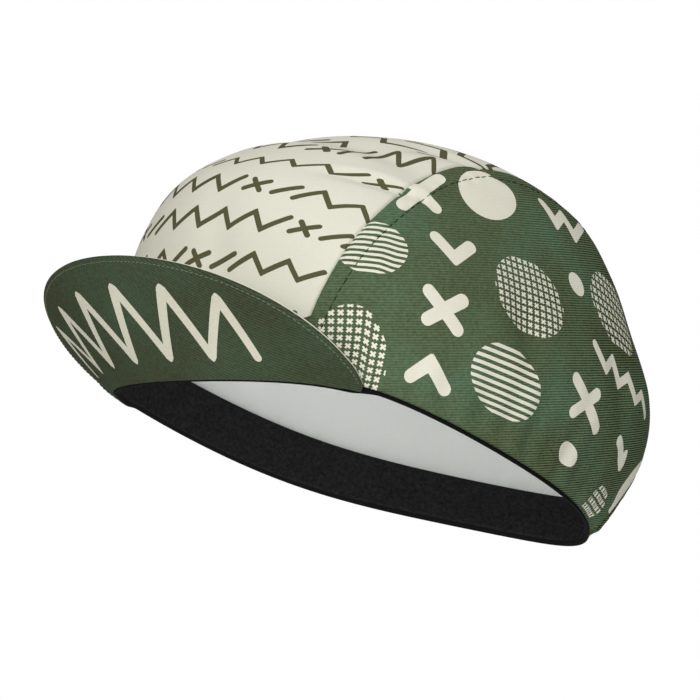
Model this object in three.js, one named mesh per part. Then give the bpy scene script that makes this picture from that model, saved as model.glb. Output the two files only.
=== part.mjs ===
import * as THREE from 'three';

// A soft cycling cap in millimetres, Z up. The peak points to -Y, the wearer's left is +X,
// and the origin is the middle of the head opening, level with the lower edge of the sweatband.

const CROWN_HEIGHT = 112.4;
const BACK_LEAN = 3; // how far the top sits behind the middle of the opening

// The rim as sines of 1, 2, 3... turns sideways, and as cosines to the front and in height. It is
// egg-shaped, drawn in at the nape, and it dips at forehead and nape and arches over the temples.
const RIM_SIDE = [77.5, 6.3, 0.8, 2.55];
const RIM_FRONT = [97.2, -9.3, 0.7, 0.2, 1.5];
const RIM_HEIGHT = [0.52, -0.45, -1.86, -0.45, 0.08, -0.08];
const ROUNDING = 1.2; // how fast the crown rounds off the rim's egg shape on its way up
const BACK_FULLNESS = 0.07; // extra reach of the crown behind either ear

const CLOTH = 1.2;
const GAP = 0.3; // between neighbouring pieces
const BAND_WALL = 1.2;
const BAND_GAP = 0.4; // between the sweatband and the cloth
const BAND_HEIGHT = 18.5;
const BAND_SHOWS = 1.6; // of the sweatband below the cloth

const PEAK_DEPTH = 47;
const PEAK_COVER = 1.0; // each of its two covers
const PEAK_HALF_SPAN = 56; // degrees round the rim
const PEAK_RISE = { middle: 37, end: 22 }; // degrees above the rim's plane, with the peak flipped up
const PEAK_BELOW = 0.6; // its root under the sweatband's edge
const PEAK_CURL = 0; // degrees that a line from root to edge turns on its way
const PEAK_ROUND = { along: 2, fall: 0.88 }; // how full the peak's outline is

// Sections of the crown: the share of its height, and of each reach at that height.
const CROWN = [
  { up: 0, front: 1, side: 1, back: 1 },
  { up: 0.13, front: 1.03, side: 1.03, back: 1.077 },
  { up: 0.28, front: 1.055, side: 1.05, back: 1.124 },
  { up: 0.45, front: 1.062, side: 0.999, back: 1.08 },
  { up: 0.62, front: 1.008, side: 0.895, back: 0.923 },
  { up: 0.77, front: 0.843, side: 0.808, back: 0.763 },
  { up: 0.89, front: 0.607, side: 0.696, back: 0.569 },
  { up: 0.967, front: 0.315, side: 0.445, back: 0.336 },
  { up: 1, front: 0, side: 0, back: 0 },
];

// The seam beside the centre panel: its angle out from the middle plane on the way from front to nape.
const SEAM = [
  { along: 0, out: 35 },
  { along: 0.1, out: 36.9 },
  { along: 0.2, out: 37 },
  { along: 0.3, out: 34.6 },
  { along: 0.4, out: 27.8 },
  { along: 0.5, out: 19 },
  { along: 0.6, out: 16.5 },
  { along: 0.7, out: 17.5 },
  { along: 0.8, out: 19 },
  { along: 0.9, out: 20.5 },
  { along: 1, out: 21 },
];

// Soft folds and hollows of the worn cloth, placed by degrees round from the front, towards the
// wearer's left, and degrees of climb. Each runs along its heading, degrees from level. Its length
// and breadth are degrees as well, seen from the opening, and its depth is a share of the height.
const FOLDS = [
  { turn: 34, climb: 58, heading: 20, length: 13.3, breadth: 3.6, depth: 0.0116 },
  { turn: 62, climb: 64, heading: -12, length: 10.9, breadth: 3, depth: 0.0098 },
  { turn: -28, climb: 60, heading: -18, length: 13.3, breadth: 3.6, depth: 0.0107 },
  { turn: 12, climb: 26, heading: 78, length: 15.7, breadth: 4.2, depth: 0.008 },
  { turn: 88, climb: 27, heading: 70, length: 9, breadth: 3.6, depth: 0.0089 },
  { turn: 118, climb: 26, heading: 60, length: 9.6, breadth: 3.6, depth: 0.0089 },
  { turn: -95, climb: 27, heading: 110, length: 9, breadth: 3.6, depth: 0.0089 },
  { turn: 178, climb: 40, heading: 5, length: 18.1, breadth: 4.8, depth: 0.0125 },
];
const GATHERS = { count: 30, height: 0.9, fade: 12 }; // the puffs of cloth that the elastic draws up

const degrees = Math.PI / 180;
const mix = (a, b, share) => a + (b - a) * share;
const wrap = (turn) => Math.atan2(Math.sin(turn), Math.cos(turn));
const smooth = (x) => {
  const c = Math.min(Math.max(x, 0), 1);
  return c * c * (3 - 2 * c);
};

// Catmull-Rom through the column of a table. Past the crown's top it mirrors, with reaches turned over.
function along(table, column, q, mirror) {
  const last = table.length - 1;
  const value = (i) => {
    if (i < 0) return 2 * table[0][column] - table[-i][column];
    if (i <= last) return table[i][column];
    return mirror === 0
      ? 2 * table[last][column] - table[2 * last - i][column]
      : mirror * table[2 * last - i][column];
  };
  const i = Math.min(Math.floor(q), last - 1);
  const f = q - i;
  const [a, b, c, d] = [value(i - 1), value(i), value(i + 1), value(i + 2)];
  return b + 0.5 * f * (c - a + f * (2 * a - 5 * b + 4 * c - d + f * (3 * (b - c) + d - a)));
}

const sum = (table, turn, wave) => table.reduce((z, w, i) => z + w * wave((i + 1) * turn), 0);

// Over the peak, the crown's lower edge rises to make room for its two covers.
const lift = (turn) => (2 * PEAK_COVER + GAP) * (1 - smooth((Math.abs(turn) / (PEAK_HALF_SPAN * degrees) - 1) / 0.16));

function crownBase(turn, climb) {
  const q = climb * (CROWN.length - 1);
  const [c, s] = [Math.cos(turn), Math.sin(turn)];
  const up = along(CROWN, 'up', q, 1);
  const ends = along(CROWN, c > 0 ? 'front' : 'back', q, -1);
  const full = c < 0 ? BACK_FULLNESS * (2 * s * c) ** 2 * (1 - (1 - up) ** 3) : 0;
  const reach = (ends * c * c + along(CROWN, 'side', q, -1) * s * s) * (1 + full);
  const egg = Math.max(1 - up, 0) ** ROUNDING;
  const side = mix(RIM_SIDE[0] * s, sum(RIM_SIDE, turn, Math.sin), egg);
  const front = mix(RIM_FRONT[0] * c, sum(RIM_FRONT, turn, Math.cos), egg);
  return new THREE.Vector3(
    side * reach,
    -front * reach + BACK_LEAN * Math.max(up, 0) ** 1.5,
    BAND_SHOWS + (CROWN_HEIGHT - BAND_SHOWS) * up + sum(RIM_HEIGHT, turn, Math.cos) * (1 - up),
  );
}

// Directions run from the middle of the opening: d is a unit vector with z not below 0.
const turnOf = (d) => Math.atan2(d.x, -d.y);
const climbOf = (d) => Math.asin(Math.min(Math.max(d.z, -1), 1)) / (90 * degrees);
const toward = (turn, climb) => new THREE.Vector3(
  Math.sin(turn) * Math.cos(climb), -Math.cos(turn) * Math.cos(climb), Math.sin(climb));

function puff(d) {
  const [turn, climb] = [turnOf(d), climbOf(d)];
  const height = along(CROWN, 'up', climb * 8, 1) * CROWN_HEIGHT;
  const beat = 0.5 - 0.5 * Math.cos(GATHERS.count * turn + 1.7 * Math.sin(3 * turn) + 1.1 * Math.sin(7 * turn));
  const clear = smooth((Math.abs(turn) / degrees - PEAK_HALF_SPAN - 4) / 14);
  let out = GATHERS.height * beat * clear * smooth(height / (BAND_HEIGHT / 4)) * Math.exp(-height / GATHERS.fade);
  const free = smooth(height / BAND_HEIGHT - 1);
  for (const f of FOLDS) {
    const at = toward(f.turn * degrees, f.climb * degrees);
    const level = new THREE.Vector3(-at.y, at.x, 0).normalize();
    const steep = new THREE.Vector3().crossVectors(at, level).negate();
    const off = d.clone().sub(at).divideScalar(degrees);
    const [u, v] = [off.dot(level), off.dot(steep)];
    const [c, s] = [Math.cos(f.heading * degrees), Math.sin(f.heading * degrees)];
    const [run, side] = [(u * c + v * s) / f.length, (v * c - u * s) / f.breadth];
    out -= free * f.depth * CROWN_HEIGHT * Math.exp(-run * run - side * side) * (1 - 1.4 * side);
  }
  return out;
}

function crownNormal(d) {
  const level = Math.abs(d.z) > 0.9 ? new THREE.Vector3(1, 0, 0) : new THREE.Vector3(0, 0, 1);
  const e = new THREE.Vector3().crossVectors(d, level).normalize().multiplyScalar(2e-3);
  const g = new THREE.Vector3().crossVectors(d, e).normalize().multiplyScalar(2e-3);
  const at = (step) => {
    const to = d.clone().add(step);
    to.z = Math.max(to.z, 0);
    to.normalize();
    return crownBase(turnOf(to), climbOf(to));
  };
  const a = at(e).sub(at(e.clone().negate()));
  const b = at(g).sub(at(g.clone().negate()));
  const n = new THREE.Vector3().crossVectors(a, b).normalize();
  return n.dot(d) < 0 ? n.negate() : n;
}

// The crown's cloth at direction d, at a depth below its outer face.
function crownPoint(d, depth) {
  const [turn, climb] = [turnOf(d), climbOf(d)];
  const raised = climb + (lift(turn) * (1 - climb) ** 3) / CROWN_HEIGHT;
  const to = toward(turn, raised * 90 * degrees);
  return crownBase(turn, raised).addScaledVector(crownNormal(to), puff(to) - depth);
}

// A closed plate between two faces of the same grid, which are functions of two shares from 0 to 1.
// A round one joins its last column to its first.
function plate(name, across, up, faces, round = false) {
  const [columns, rows] = [Math.round(across), Math.round(up)];
  const points = [];
  const seen = new Map();
  const vertex = (side, i, j) => {
    const p = faces[side]((round ? i % columns : i) / columns, j / rows);
    const key = [p.x, p.y, p.z].map((v) => Math.round(v * 1e4)).join();
    if (!seen.has(key)) {
      seen.set(key, points.length / 3);
      points.push(p.x, p.y, p.z);
    }
    return seen.get(key);
  };
  const grid = faces.map((_, side) => Array.from({ length: columns + 1 }, (_, i) => (
    Array.from({ length: rows + 1 }, (_, j) => vertex(side, i, j)))));
  const triangles = [];
  const quad = (a, b, c, d) => {
    for (const t of [[a, b, c], [a, c, d]]) if (new Set(t).size === 3) triangles.push(...t);
  };
  const [out, inn] = grid;
  for (let i = 0; i < columns; i += 1) {
    for (let j = 0; j < rows; j += 1) {
      quad(out[i][j], out[i + 1][j], out[i + 1][j + 1], out[i][j + 1]);
      quad(inn[i][j], inn[i][j + 1], inn[i + 1][j + 1], inn[i + 1][j]);
    }
    quad(out[i + 1][0], out[i][0], inn[i][0], inn[i + 1][0]);
    quad(out[i][rows], out[i + 1][rows], inn[i + 1][rows], inn[i][rows]);
  }
  for (let j = 0; j < rows && !round; j += 1) {
    quad(out[0][j], out[0][j + 1], inn[0][j + 1], inn[0][j]);
    quad(out[columns][j + 1], out[columns][j], inn[columns][j], inn[columns][j + 1]);
  }
  const geometry = new THREE.BufferGeometry();
  geometry.setAttribute('position', new THREE.Float32BufferAttribute(points, 3));
  let volume = 0;
  const [a, b, c] = [0, 1, 2].map(() => new THREE.Vector3());
  for (let t = 0; t < triangles.length; t += 3) {
    [a, b, c].forEach((p, n) => p.fromArray(points, 3 * triangles[t + n]));
    volume += a.dot(b.cross(c));
  }
  if (volume < 0) triangles.reverse();
  geometry.setIndex(triangles);
  geometry.computeVertexNormals();
  const mesh = new THREE.Mesh(geometry);
  mesh.name = name;
  return mesh;
}

// The centre panel runs from the forehead over the top to the nape, between the two seams.
const LENGTHWAYS = 36;
const ACROSS = 14;
const SIDE_ROWS = 15;
const seamOut = (share) => along(SEAM, 'out', share * (SEAM.length - 1), 0) * degrees;
const onArch = (share, out) => new THREE.Vector3(
  Math.sin(out), -Math.cos(out) * Math.cos(share * Math.PI), Math.cos(out) * Math.sin(share * Math.PI));
const SEAM_GAP = GAP / 2 / RIM_SIDE[0]; // half a gap, as an angle

function centrePanel() {
  const at = (depth) => (share, width) => (
    crownPoint(onArch(share, (seamOut(share) - SEAM_GAP) * (2 * width - 1)), depth));
  return plate('crown_centre_panel', LENGTHWAYS, ACROSS, [at(0), at(CLOTH)]);
}

// A side panel is a half-moon: each column climbs from the rim to the seam beside the centre panel.
function sidePanel(name, hand) {
  const flat = (d) => {
    const far = Math.acos(Math.min(d.x, 1));
    const stretch = far > 1e-6 ? far / Math.hypot(d.y, d.z) : 1;
    return [d.y * stretch, d.z * stretch];
  };
  const at = (depth) => (share, climb) => {
    const [u, v] = flat(onArch(share, seamOut(share) + SEAM_GAP));
    const [start, end] = [0, 1].map((s) => flat(onArch(s, seamOut(s) + SEAM_GAP))[0]);
    const foot = mix(start, end, mix(share, 0.5 - 0.5 * Math.cos(share * Math.PI), 0.4));
    const [p, q] = [mix(foot, u, climb), Math.max(v, 0) * climb];
    const far = Math.hypot(p, q);
    const d = new THREE.Vector3(Math.cos(far), Math.sin(far) / far * p, Math.sin(far) / far * q);
    d.x *= hand;
    return crownPoint(d, depth);
  };
  return plate(name, LENGTHWAYS, SIDE_ROWS, [at(0), at(CLOTH)]);
}

const BAND_COLUMNS = 84;

// The elastic sweatband lines the rim inside the cloth. Below the cloth it turns out flush with it,
// but not under the peak. Its rows: a drop below the cloth's edge or a climb above it.
const LIP = GAP; // its top, below the cloth
const BAND_ROWS = [
  { drop: BAND_SHOWS, lip: 1 },
  { drop: LIP, lip: 1 },
  { drop: LIP, lip: 0 },
  { climb: 0.25 },
  { climb: 0.5 },
  { climb: 0.75 },
  { climb: 1 },
];

function sweatband() {
  const inside = CLOTH + BAND_GAP;
  const at = (wall) => (share, row) => {
    const turn = share * 2 * Math.PI;
    const { drop = 0, climb = 0, lip = 0 } = BAND_ROWS[Math.round(row * (BAND_ROWS.length - 1))];
    const up = (climb * BAND_HEIGHT * 0.98) / CROWN_HEIGHT;
    const clear = smooth((Math.abs(wrap(turn)) / (PEAK_HALF_SPAN * degrees) - 1) / 0.08);
    const depth = wall > 0 ? inside + wall : inside * (1 - lip * clear);
    const p = crownBase(turn, up).addScaledVector(crownNormal(toward(turn, up * 90 * degrees)), -depth);
    p.z -= drop;
    return p;
  };
  return plate('elastic_sweatband', BAND_COLUMNS, BAND_ROWS.length - 1, [at(0), at(BAND_WALL)], true);
}

// The peak: lines rise from the rim outwards, shorter and flatter towards its ends.
const PEAK_COLUMNS = 34;
const PEAK_ROWS = 6;
function peakPoint(turn, share, height) {
  const side = Math.abs(turn) / (PEAK_HALF_SPAN * degrees);
  const root = crownBase(turn, 0);
  const ahead = crownBase(turn + 1e-3, 0).sub(crownBase(turn - 1e-3, 0));
  const outward = new THREE.Vector3(ahead.y, -ahead.x, 0).normalize();
  const depth = PEAK_DEPTH * (1 - side ** PEAK_ROUND.along) ** PEAK_ROUND.fall;
  const rise = mix(PEAK_RISE.middle, PEAK_RISE.end, side * side);
  const angle = (s) => (rise + PEAK_CURL * (s - 0.5)) * degrees;
  const start = height * Math.tan(angle(0));
  let [out, up] = [GAP / 2 - CLOTH, -BAND_SHOWS - PEAK_BELOW];
  const steps = 8;
  const run = start + (depth - start) * share;
  for (let n = 0; n < steps; n += 1) {
    const a = angle(((n + 0.5) / steps) * (run / depth));
    out += (Math.cos(a) * run) / steps;
    up += (Math.sin(a) * run) / steps;
  }
  const a = angle(run / depth);
  return root.addScaledVector(outward, out - Math.sin(a) * height)
    .add(new THREE.Vector3(0, 0, up + Math.cos(a) * height));
}

function peakCover(name, from) {
  const at = (height) => (width, share) => {
    const turn = Math.sin((2 * width - 1) * 90 * degrees) * 0.985 * PEAK_HALF_SPAN * degrees;
    return peakPoint(turn, share, height);
  };
  return plate(name, PEAK_COLUMNS, PEAK_ROWS, [at(from + PEAK_COVER), at(from)]);
}

const cap = new THREE.Group();
cap.name = 'cycling_cap';
cap.add(
  centrePanel(),
  sidePanel('crown_left_panel', 1),
  sidePanel('crown_right_panel', -1),
  sweatband(),
  peakCover('peak_under_cover', 0),
  peakCover('peak_top_cover', PEAK_COVER + GAP),
);

export default cap;
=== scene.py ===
import math
import bpy
import numpy as np
from mathutils import Matrix, Vector
from mathutils.geometry import delaunay_2d_cdt


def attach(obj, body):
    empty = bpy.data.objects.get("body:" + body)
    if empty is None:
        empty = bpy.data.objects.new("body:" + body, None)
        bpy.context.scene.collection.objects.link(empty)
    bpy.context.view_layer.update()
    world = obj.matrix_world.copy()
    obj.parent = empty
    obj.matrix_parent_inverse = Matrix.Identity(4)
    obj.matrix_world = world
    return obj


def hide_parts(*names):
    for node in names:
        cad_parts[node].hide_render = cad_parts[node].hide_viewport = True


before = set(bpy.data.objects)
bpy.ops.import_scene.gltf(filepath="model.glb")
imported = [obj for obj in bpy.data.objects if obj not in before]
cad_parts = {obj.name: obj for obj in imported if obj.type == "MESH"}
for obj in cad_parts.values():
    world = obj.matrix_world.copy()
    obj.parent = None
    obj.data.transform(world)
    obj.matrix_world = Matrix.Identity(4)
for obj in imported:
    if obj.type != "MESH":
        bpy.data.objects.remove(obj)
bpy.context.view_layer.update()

# The camera stands below the cap on the wearer's left and looks up into the head opening, with the
# horizon turned as in the photograph. Its lens belongs to a 36 mm wide sensor and a square picture.
CAMERA_AZIMUTH, CAMERA_ELEVATION, CAMERA_ROLL = (math.radians(a) for a in (53.61, -14.89, 14.438))
CAMERA_DISTANCE = 0.7
CAMERA_AIM_RIGHT, CAMERA_AIM_DOWN = -0.003279, -0.038931
CAMERA_LENS = 101.09


def way_to(azimuth, elevation):
    """The unit vector at an angle round from the front, towards the wearer's left, and an angle up."""
    level = math.cos(elevation)
    return Vector((math.sin(azimuth) * level, -math.cos(azimuth) * level, math.sin(elevation)))


back = way_to(CAMERA_AZIMUTH, CAMERA_ELEVATION)
level = Vector((math.cos(CAMERA_AZIMUTH), math.sin(CAMERA_AZIMUTH), 0))
upright = back.cross(level)
right = level * math.cos(CAMERA_ROLL) + upright * math.sin(CAMERA_ROLL)
down = level * math.sin(CAMERA_ROLL) - upright * math.cos(CAMERA_ROLL)
camera = bpy.data.objects.new("camera", bpy.data.cameras.new("camera"))
camera.data.lens = CAMERA_LENS
camera.data.sensor_width = 36
camera.data.clip_start = 0.01
camera.matrix_world = Matrix.Translation(
    right * CAMERA_AIM_RIGHT + down * CAMERA_AIM_DOWN + back * CAMERA_DISTANCE
) @ Matrix((right, -down, back)).transposed().to_4x4()
bpy.context.scene.collection.objects.link(camera)
bpy.context.scene.camera = camera


def linear(code):
    """An sRGB hex colour as linear red, green, blue and alpha."""
    parts = [int(code[i:i + 2], 16) / 255 for i in (1, 3, 5)]
    return [c / 12.92 if c <= 0.04045 else ((c + 0.055) / 1.055) ** 2.4 for c in parts] + [1]


def add(tree, kind, settings=None, inputs=None):
    """Adds a node with its settings, and gives its inputs a value or a link."""
    node = tree.nodes.new(kind)
    for name, value in (settings or {}).items():
        setattr(node, name, value)
    for name, value in (inputs or {}).items():
        if isinstance(value, bpy.types.NodeSocket):
            tree.links.new(value, node.inputs[name])
        else:
            node.inputs[name].default_value = value
    return node


# White studio: a large soft light level with the cap in front, one high on the wearer's left, one
# behind on the right, and reflectors low on the left and underneath, which light the inside. The
# floor lies far below.
ROOM_LIGHT = 0.1
LIGHT_SIZE, LIGHT_DISTANCE = 1.1, 1.5
SOFT_LIGHTS = [
    {"azimuth": 90, "elevation": 70, "power": 8.3},
    {"azimuth": 30, "elevation": 5, "power": 16.1},
    {"azimuth": 54, "elevation": -30, "power": 2.4},
    {"azimuth": 110, "elevation": -30, "power": 3.6},
    {"azimuth": 54, "elevation": -65, "power": 6.4},
    {"azimuth": 240, "elevation": 25, "power": 8},
]
FLOOR_HEIGHT, FLOOR_HALF = -1.5, 12
FLOOR_WHITE = "#f0f0ee"
FLOOR_GLOW = 0.22  # the floor's paint glows a little, evenly

world = bpy.data.worlds.new("studio")
bpy.context.scene.world = world
world.use_nodes = True
world.node_tree.nodes.clear()
seen = add(world.node_tree, "ShaderNodeLightPath")
lit = add(world.node_tree, "ShaderNodeBackground", inputs={"Color": (1, 1, 1, 1), "Strength": ROOM_LIGHT})
shown = add(world.node_tree, "ShaderNodeBackground", inputs={"Color": (1, 1, 1, 1), "Strength": 1.0})
room = add(world.node_tree, "ShaderNodeMixShader", inputs={
    0: seen.outputs[0], 1: lit.outputs[0], 2: shown.outputs[0]})
add(world.node_tree, "ShaderNodeOutputWorld", inputs={0: room.outputs[0]})
for number, row in enumerate(SOFT_LIGHTS):
    lamp = bpy.data.objects.new(f"soft_light_{number}", bpy.data.lights.new(f"soft_light_{number}", "AREA"))
    lamp.data.energy, lamp.data.size = row["power"], LIGHT_SIZE
    out = way_to(math.radians(row["azimuth"]), math.radians(row["elevation"]))
    lamp.matrix_world = Matrix.Translation(out * LIGHT_DISTANCE) @ out.to_track_quat("Z", "Y").to_matrix().to_4x4()
    bpy.context.scene.collection.objects.link(lamp)
bpy.context.scene.view_settings.view_transform = "Standard"

floor_mesh = bpy.data.meshes.new("floor")
corners = [(x * FLOOR_HALF, y * FLOOR_HALF, FLOOR_HEIGHT) for x, y in ((-1, -1), (1, -1), (1, 1), (-1, 1))]
floor_mesh.from_pydata(corners, [], [(0, 1, 2, 3)])
floor = bpy.data.objects.new("floor", floor_mesh)
bpy.context.scene.collection.objects.link(floor)
painted = bpy.data.materials.new("matt white studio paint")
painted.use_nodes = True
shader = painted.node_tree.nodes["Principled BSDF"]
shader.inputs["Base Color"].default_value = linear(FLOOR_WHITE)
shader.inputs["Roughness"].default_value = 0.9
shader.inputs["Emission Color"].default_value = (1, 1, 1, 1)
shader.inputs["Emission Strength"].default_value = FLOOR_GLOW
floor_mesh.materials.append(painted)

# Centre panel of the crown: one strip of thin knitted polyester from the forehead over the top to
# the nape, heat-printed with olive strokes on cream. It is cut and sewn to follow the crown's
# sections, which are those of the CAD part: millimetres, and shares of the height and the reaches.
CROWN_HEIGHT = 112.4
BACK_LEAN = 3
RIM_SIDE = [77.5, 6.3, 0.8, 2.55]
RIM_FRONT = [97.2, -9.3, 0.7, 0.2, 1.5]
RIM_HEIGHT = [0.52, -0.45, -1.86, -0.45, 0.08, -0.08]
ROUNDING = 1.2
BACK_FULLNESS = 0.07
BAND_HEIGHT = 18.5
BAND_SHOWS = 1.6
CLOTH_DEPTH = 1.3  # how deep the cloth's inner face lies below the outer one
PEAK_HALF_SPAN = math.radians(56)
PEAK_ROOM = 2.3
PEAK_END = 0.92  # from this share of its half span the peak runs out against the cloth
CROWN = {
    "up": [0, 0.13, 0.28, 0.45, 0.62, 0.77, 0.89, 0.967, 1],
    "front": [1, 1.03, 1.055, 1.062, 1.008, 0.843, 0.607, 0.315, 0],
    "side": [1, 1.03, 1.05, 0.999, 0.895, 0.808, 0.696, 0.445, 0],
    "back": [1, 1.077, 1.124, 1.08, 0.923, 0.763, 0.569, 0.336, 0],
}
SEAM_OUT = [35, 36.9, 37, 34.6, 27.8, 19, 16.5, 17.5, 19, 20.5, 21]
FOLDS = [  # length and breadth in degrees seen from the opening, depth a share of the height
    {"turn": 34, "climb": 58, "heading": 20, "length": 13.3, "breadth": 3.6, "depth": 0.0116},
    {"turn": 62, "climb": 64, "heading": -12, "length": 10.9, "breadth": 3, "depth": 0.0098},
    {"turn": -28, "climb": 60, "heading": -18, "length": 13.3, "breadth": 3.6, "depth": 0.0107},
    {"turn": 12, "climb": 26, "heading": 78, "length": 15.7, "breadth": 4.2, "depth": 0.008},
    {"turn": 88, "climb": 27, "heading": 70, "length": 9, "breadth": 3.6, "depth": 0.0089},
    {"turn": 118, "climb": 26, "heading": 60, "length": 9.6, "breadth": 3.6, "depth": 0.0089},
    {"turn": -95, "climb": 27, "heading": 110, "length": 9, "breadth": 3.6, "depth": 0.0089},
    {"turn": 178, "climb": 40, "heading": 5, "length": 18.1, "breadth": 4.8, "depth": 0.0125},
]
CREASES = [  # sharper than the folds, with the cloth standing up above them
    {"turn": 45, "climb": 48, "heading": 3, "length": 7.5, "breadth": 1.6, "depth": 0.013},
    {"turn": 66, "climb": 66, "heading": 12, "length": 6, "breadth": 1.2, "depth": 0.007},
]
FOLD_LIP, CREASE_LIP = -1.4, 1.9  # how much the cloth stands up beside them, and on which side
GATHERS = [  # how many go round, how far they stand out, the height they fade over, how uneven they are
    {"count": 30, "height": 1.1, "fade": 14, "drift": 1.7},
    {"count": 53, "height": 1.0, "fade": 20, "drift": 2.6},
]
GATHERS_FROM, GATHERS_GROW = math.radians(4), math.radians(14)  # beside the peak
NORMAL_STEP = 2e-3


def smooth(x):
    x = np.clip(x, 0, 1)
    return x * x * (3 - 2 * x)


def along(table, share, mirror):
    """Catmull-Rom through a table, at a share of its length. Past its end it mirrors, times mirror, or
    runs straight on for 0."""
    last = len(table) - 1
    if mirror:
        end = [mirror * table[last - 1], mirror * table[last - 2]]
    else:
        end = [2 * table[last] - table[last - 1]]
    full = np.array([2 * table[0] - table[1]] + list(table) + end + [0, 0], float)
    q = share * last
    i = np.clip(np.floor(q).astype(int), 0, last - 1)
    f = q - i
    a, b, c, d = (full[i + n] for n in range(4))
    return b + 0.5 * f * (c - a + f * (2 * a - 5 * b + 4 * c - d + f * (3 * (b - c) + d - a)))


def waves(table, turn, wave):
    """The sum of whole waves round the rim, with their sizes from a table."""
    return sum(size * wave((n + 1) * turn) for n, size in enumerate(table))


def crown_base(turn, climb):
    """The crown's outer face before folds, in mm, from the angle round, in radians, and the share of climb."""
    c, s = np.cos(turn), np.sin(turn)
    up = along(CROWN["up"], climb, 1)
    ends = np.where(c > 0, along(CROWN["front"], climb, -1), along(CROWN["back"], climb, -1))
    full = np.where(c < 0, BACK_FULLNESS * (2 * s * c) ** 2 * (1 - (1 - up) ** 3), 0)
    reach = (ends * c * c + along(CROWN["side"], climb, -1) * s * s) * (1 + full)
    egg = np.maximum(1 - up, 0) ** ROUNDING
    side = RIM_SIDE[0] * s + (waves(RIM_SIDE, turn, np.sin) - RIM_SIDE[0] * s) * egg
    front = RIM_FRONT[0] * c + (waves(RIM_FRONT, turn, np.cos) - RIM_FRONT[0] * c) * egg
    return np.stack([
        side * reach,
        -front * reach + BACK_LEAN * np.maximum(up, 0) ** 1.5,
        BAND_SHOWS + (CROWN_HEIGHT - BAND_SHOWS) * up + waves(RIM_HEIGHT, turn, np.cos) * (1 - up),
    ], -1)


def turn_climb(d):
    """The angle round and the share of climb of a direction."""
    return np.arctan2(d[..., 0], -d[..., 1]), np.arcsin(np.clip(d[..., 2], -1, 1)) / (math.pi / 2)


def toward(turn, climb):
    """The unit vector at an angle round and an angle of climb, both in radians."""
    return np.stack([np.sin(turn) * np.cos(climb), -np.cos(turn) * np.cos(climb), np.sin(climb)], -1)


def unit(v):
    return v / np.maximum(np.linalg.norm(v, axis=-1, keepdims=True), 1e-12)


def crown_normal(d):
    """The way out of the crown's face, before folds, at direction d."""
    level = np.where(np.abs(d[..., 2:]) > 0.9, [1.0, 0, 0], [0, 0, 1.0])
    e = unit(np.cross(d, level)) * NORMAL_STEP
    g = unit(np.cross(d, e)) * NORMAL_STEP

    def at(step):
        to = d + step
        to[..., 2] = np.maximum(to[..., 2], 0)
        return crown_base(*turn_climb(unit(to)))

    n = unit(np.cross(at(e) - at(-e), at(g) - at(-g)))
    return n * np.sign(np.sum(n * d, -1, keepdims=True))


def puff(d):
    """How far folds and gathers lift the cloth, in mm."""
    turn, climb = turn_climb(d)
    height = along(CROWN["up"], climb, 1) * CROWN_HEIGHT
    clear = smooth((np.abs(turn) - PEAK_HALF_SPAN - GATHERS_FROM) / GATHERS_GROW)
    out = 0
    for row in GATHERS:
        beat = 0.5 - 0.5 * np.cos(row["count"] * turn + row["drift"] * np.sin(3 * turn) + 1.1 * np.sin(7 * turn))
        out = out + row["height"] * beat * clear * smooth(height / (BAND_HEIGHT / 4)) * np.exp(-height / row["fade"])
    free = smooth(height / BAND_HEIGHT - 1)
    for row, lip in [(row, FOLD_LIP) for row in FOLDS] + [(row, CREASE_LIP) for row in CREASES]:
        at = toward(*(np.array(math.radians(row[k])) for k in ("turn", "climb")))
        level = unit(np.array([-at[1], at[0], 0]))
        steep = -np.cross(at, level)
        u, v = np.degrees(d - at) @ level, np.degrees(d - at) @ steep
        c, s = math.cos(math.radians(row["heading"])), math.sin(math.radians(row["heading"]))
        run, side = (u * c + v * s) / row["length"], (v * c - u * s) / row["breadth"]
        out = out - free * row["depth"] * CROWN_HEIGHT * np.exp(-run * run - side * side) * (1 + lip * side)
    return out


def crown_point(d, depth):
    """The cloth at direction d, depth mm below its outer face."""
    turn, climb = turn_climb(d)
    lift = PEAK_ROOM * (1 - smooth((np.abs(turn) / PEAK_HALF_SPAN - PEAK_END) / (1 - PEAK_END)))
    raised = climb + lift * (1 - climb) ** 3 / CROWN_HEIGHT
    to = toward(turn, raised * math.pi / 2)
    return crown_base(turn, raised) + crown_normal(to) * (puff(to) - depth)[..., None]


def seam_out(share):
    """How far out the seam lies, in radians, at a share of its length from the forehead to the nape."""
    return np.radians(along(SEAM_OUT, share, 0))


def on_arch(run, out):
    """The direction at an angle run from front to nape and out from the middle plane, in radians."""
    return np.stack([np.sin(out), -np.cos(out) * np.cos(run), np.cos(out) * np.sin(run)], -1)


def circle(radius, at=(0, 0), sides=28):
    turns = np.linspace(0, 2 * math.pi, sides, endpoint=False)
    return np.stack([at[0] + radius * np.cos(turns), at[1] + radius * np.sin(turns)], -1)


MITRE_LEAST = 0.42  # keeps the tip of a sharp corner short
BLUNT_SIDE, BLUNT_TIP = 0.6, 0.87  # how near a corner's outline comes to its tip


def stroke(points, width):
    """A brush stroke along straight lines, with blunted corners and round ends, as polygons in mm."""
    points = np.array(points, float)
    half = width / 2
    runs = unit(np.diff(points, axis=0))
    sides = np.stack([-runs[:, 1], runs[:, 0]], -1) * half
    shapes = [np.array([a + n, a - n, b - n, b + n]) for a, b, n in zip(points, points[1:], sides)]
    for p, n, m in zip(points[1:-1], sides, sides[1:]):
        hand = -np.sign(n[0] * m[1] - n[1] * m[0])
        tip = (n + m) * hand
        tip = tip * half ** 2 / max(tip @ (n * hand), MITRE_LEAST * half ** 2)
        n, m = n * hand, m * hand
        before, after = (p + side + BLUNT_SIDE * (tip - side) for side in (n, m))
        shapes.append(np.array([p, p + n, before, p + BLUNT_TIP * tip, after, p + m]))
    return shapes + [circle(half, p, 14) for p in (points[0], points[-1])]


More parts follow.
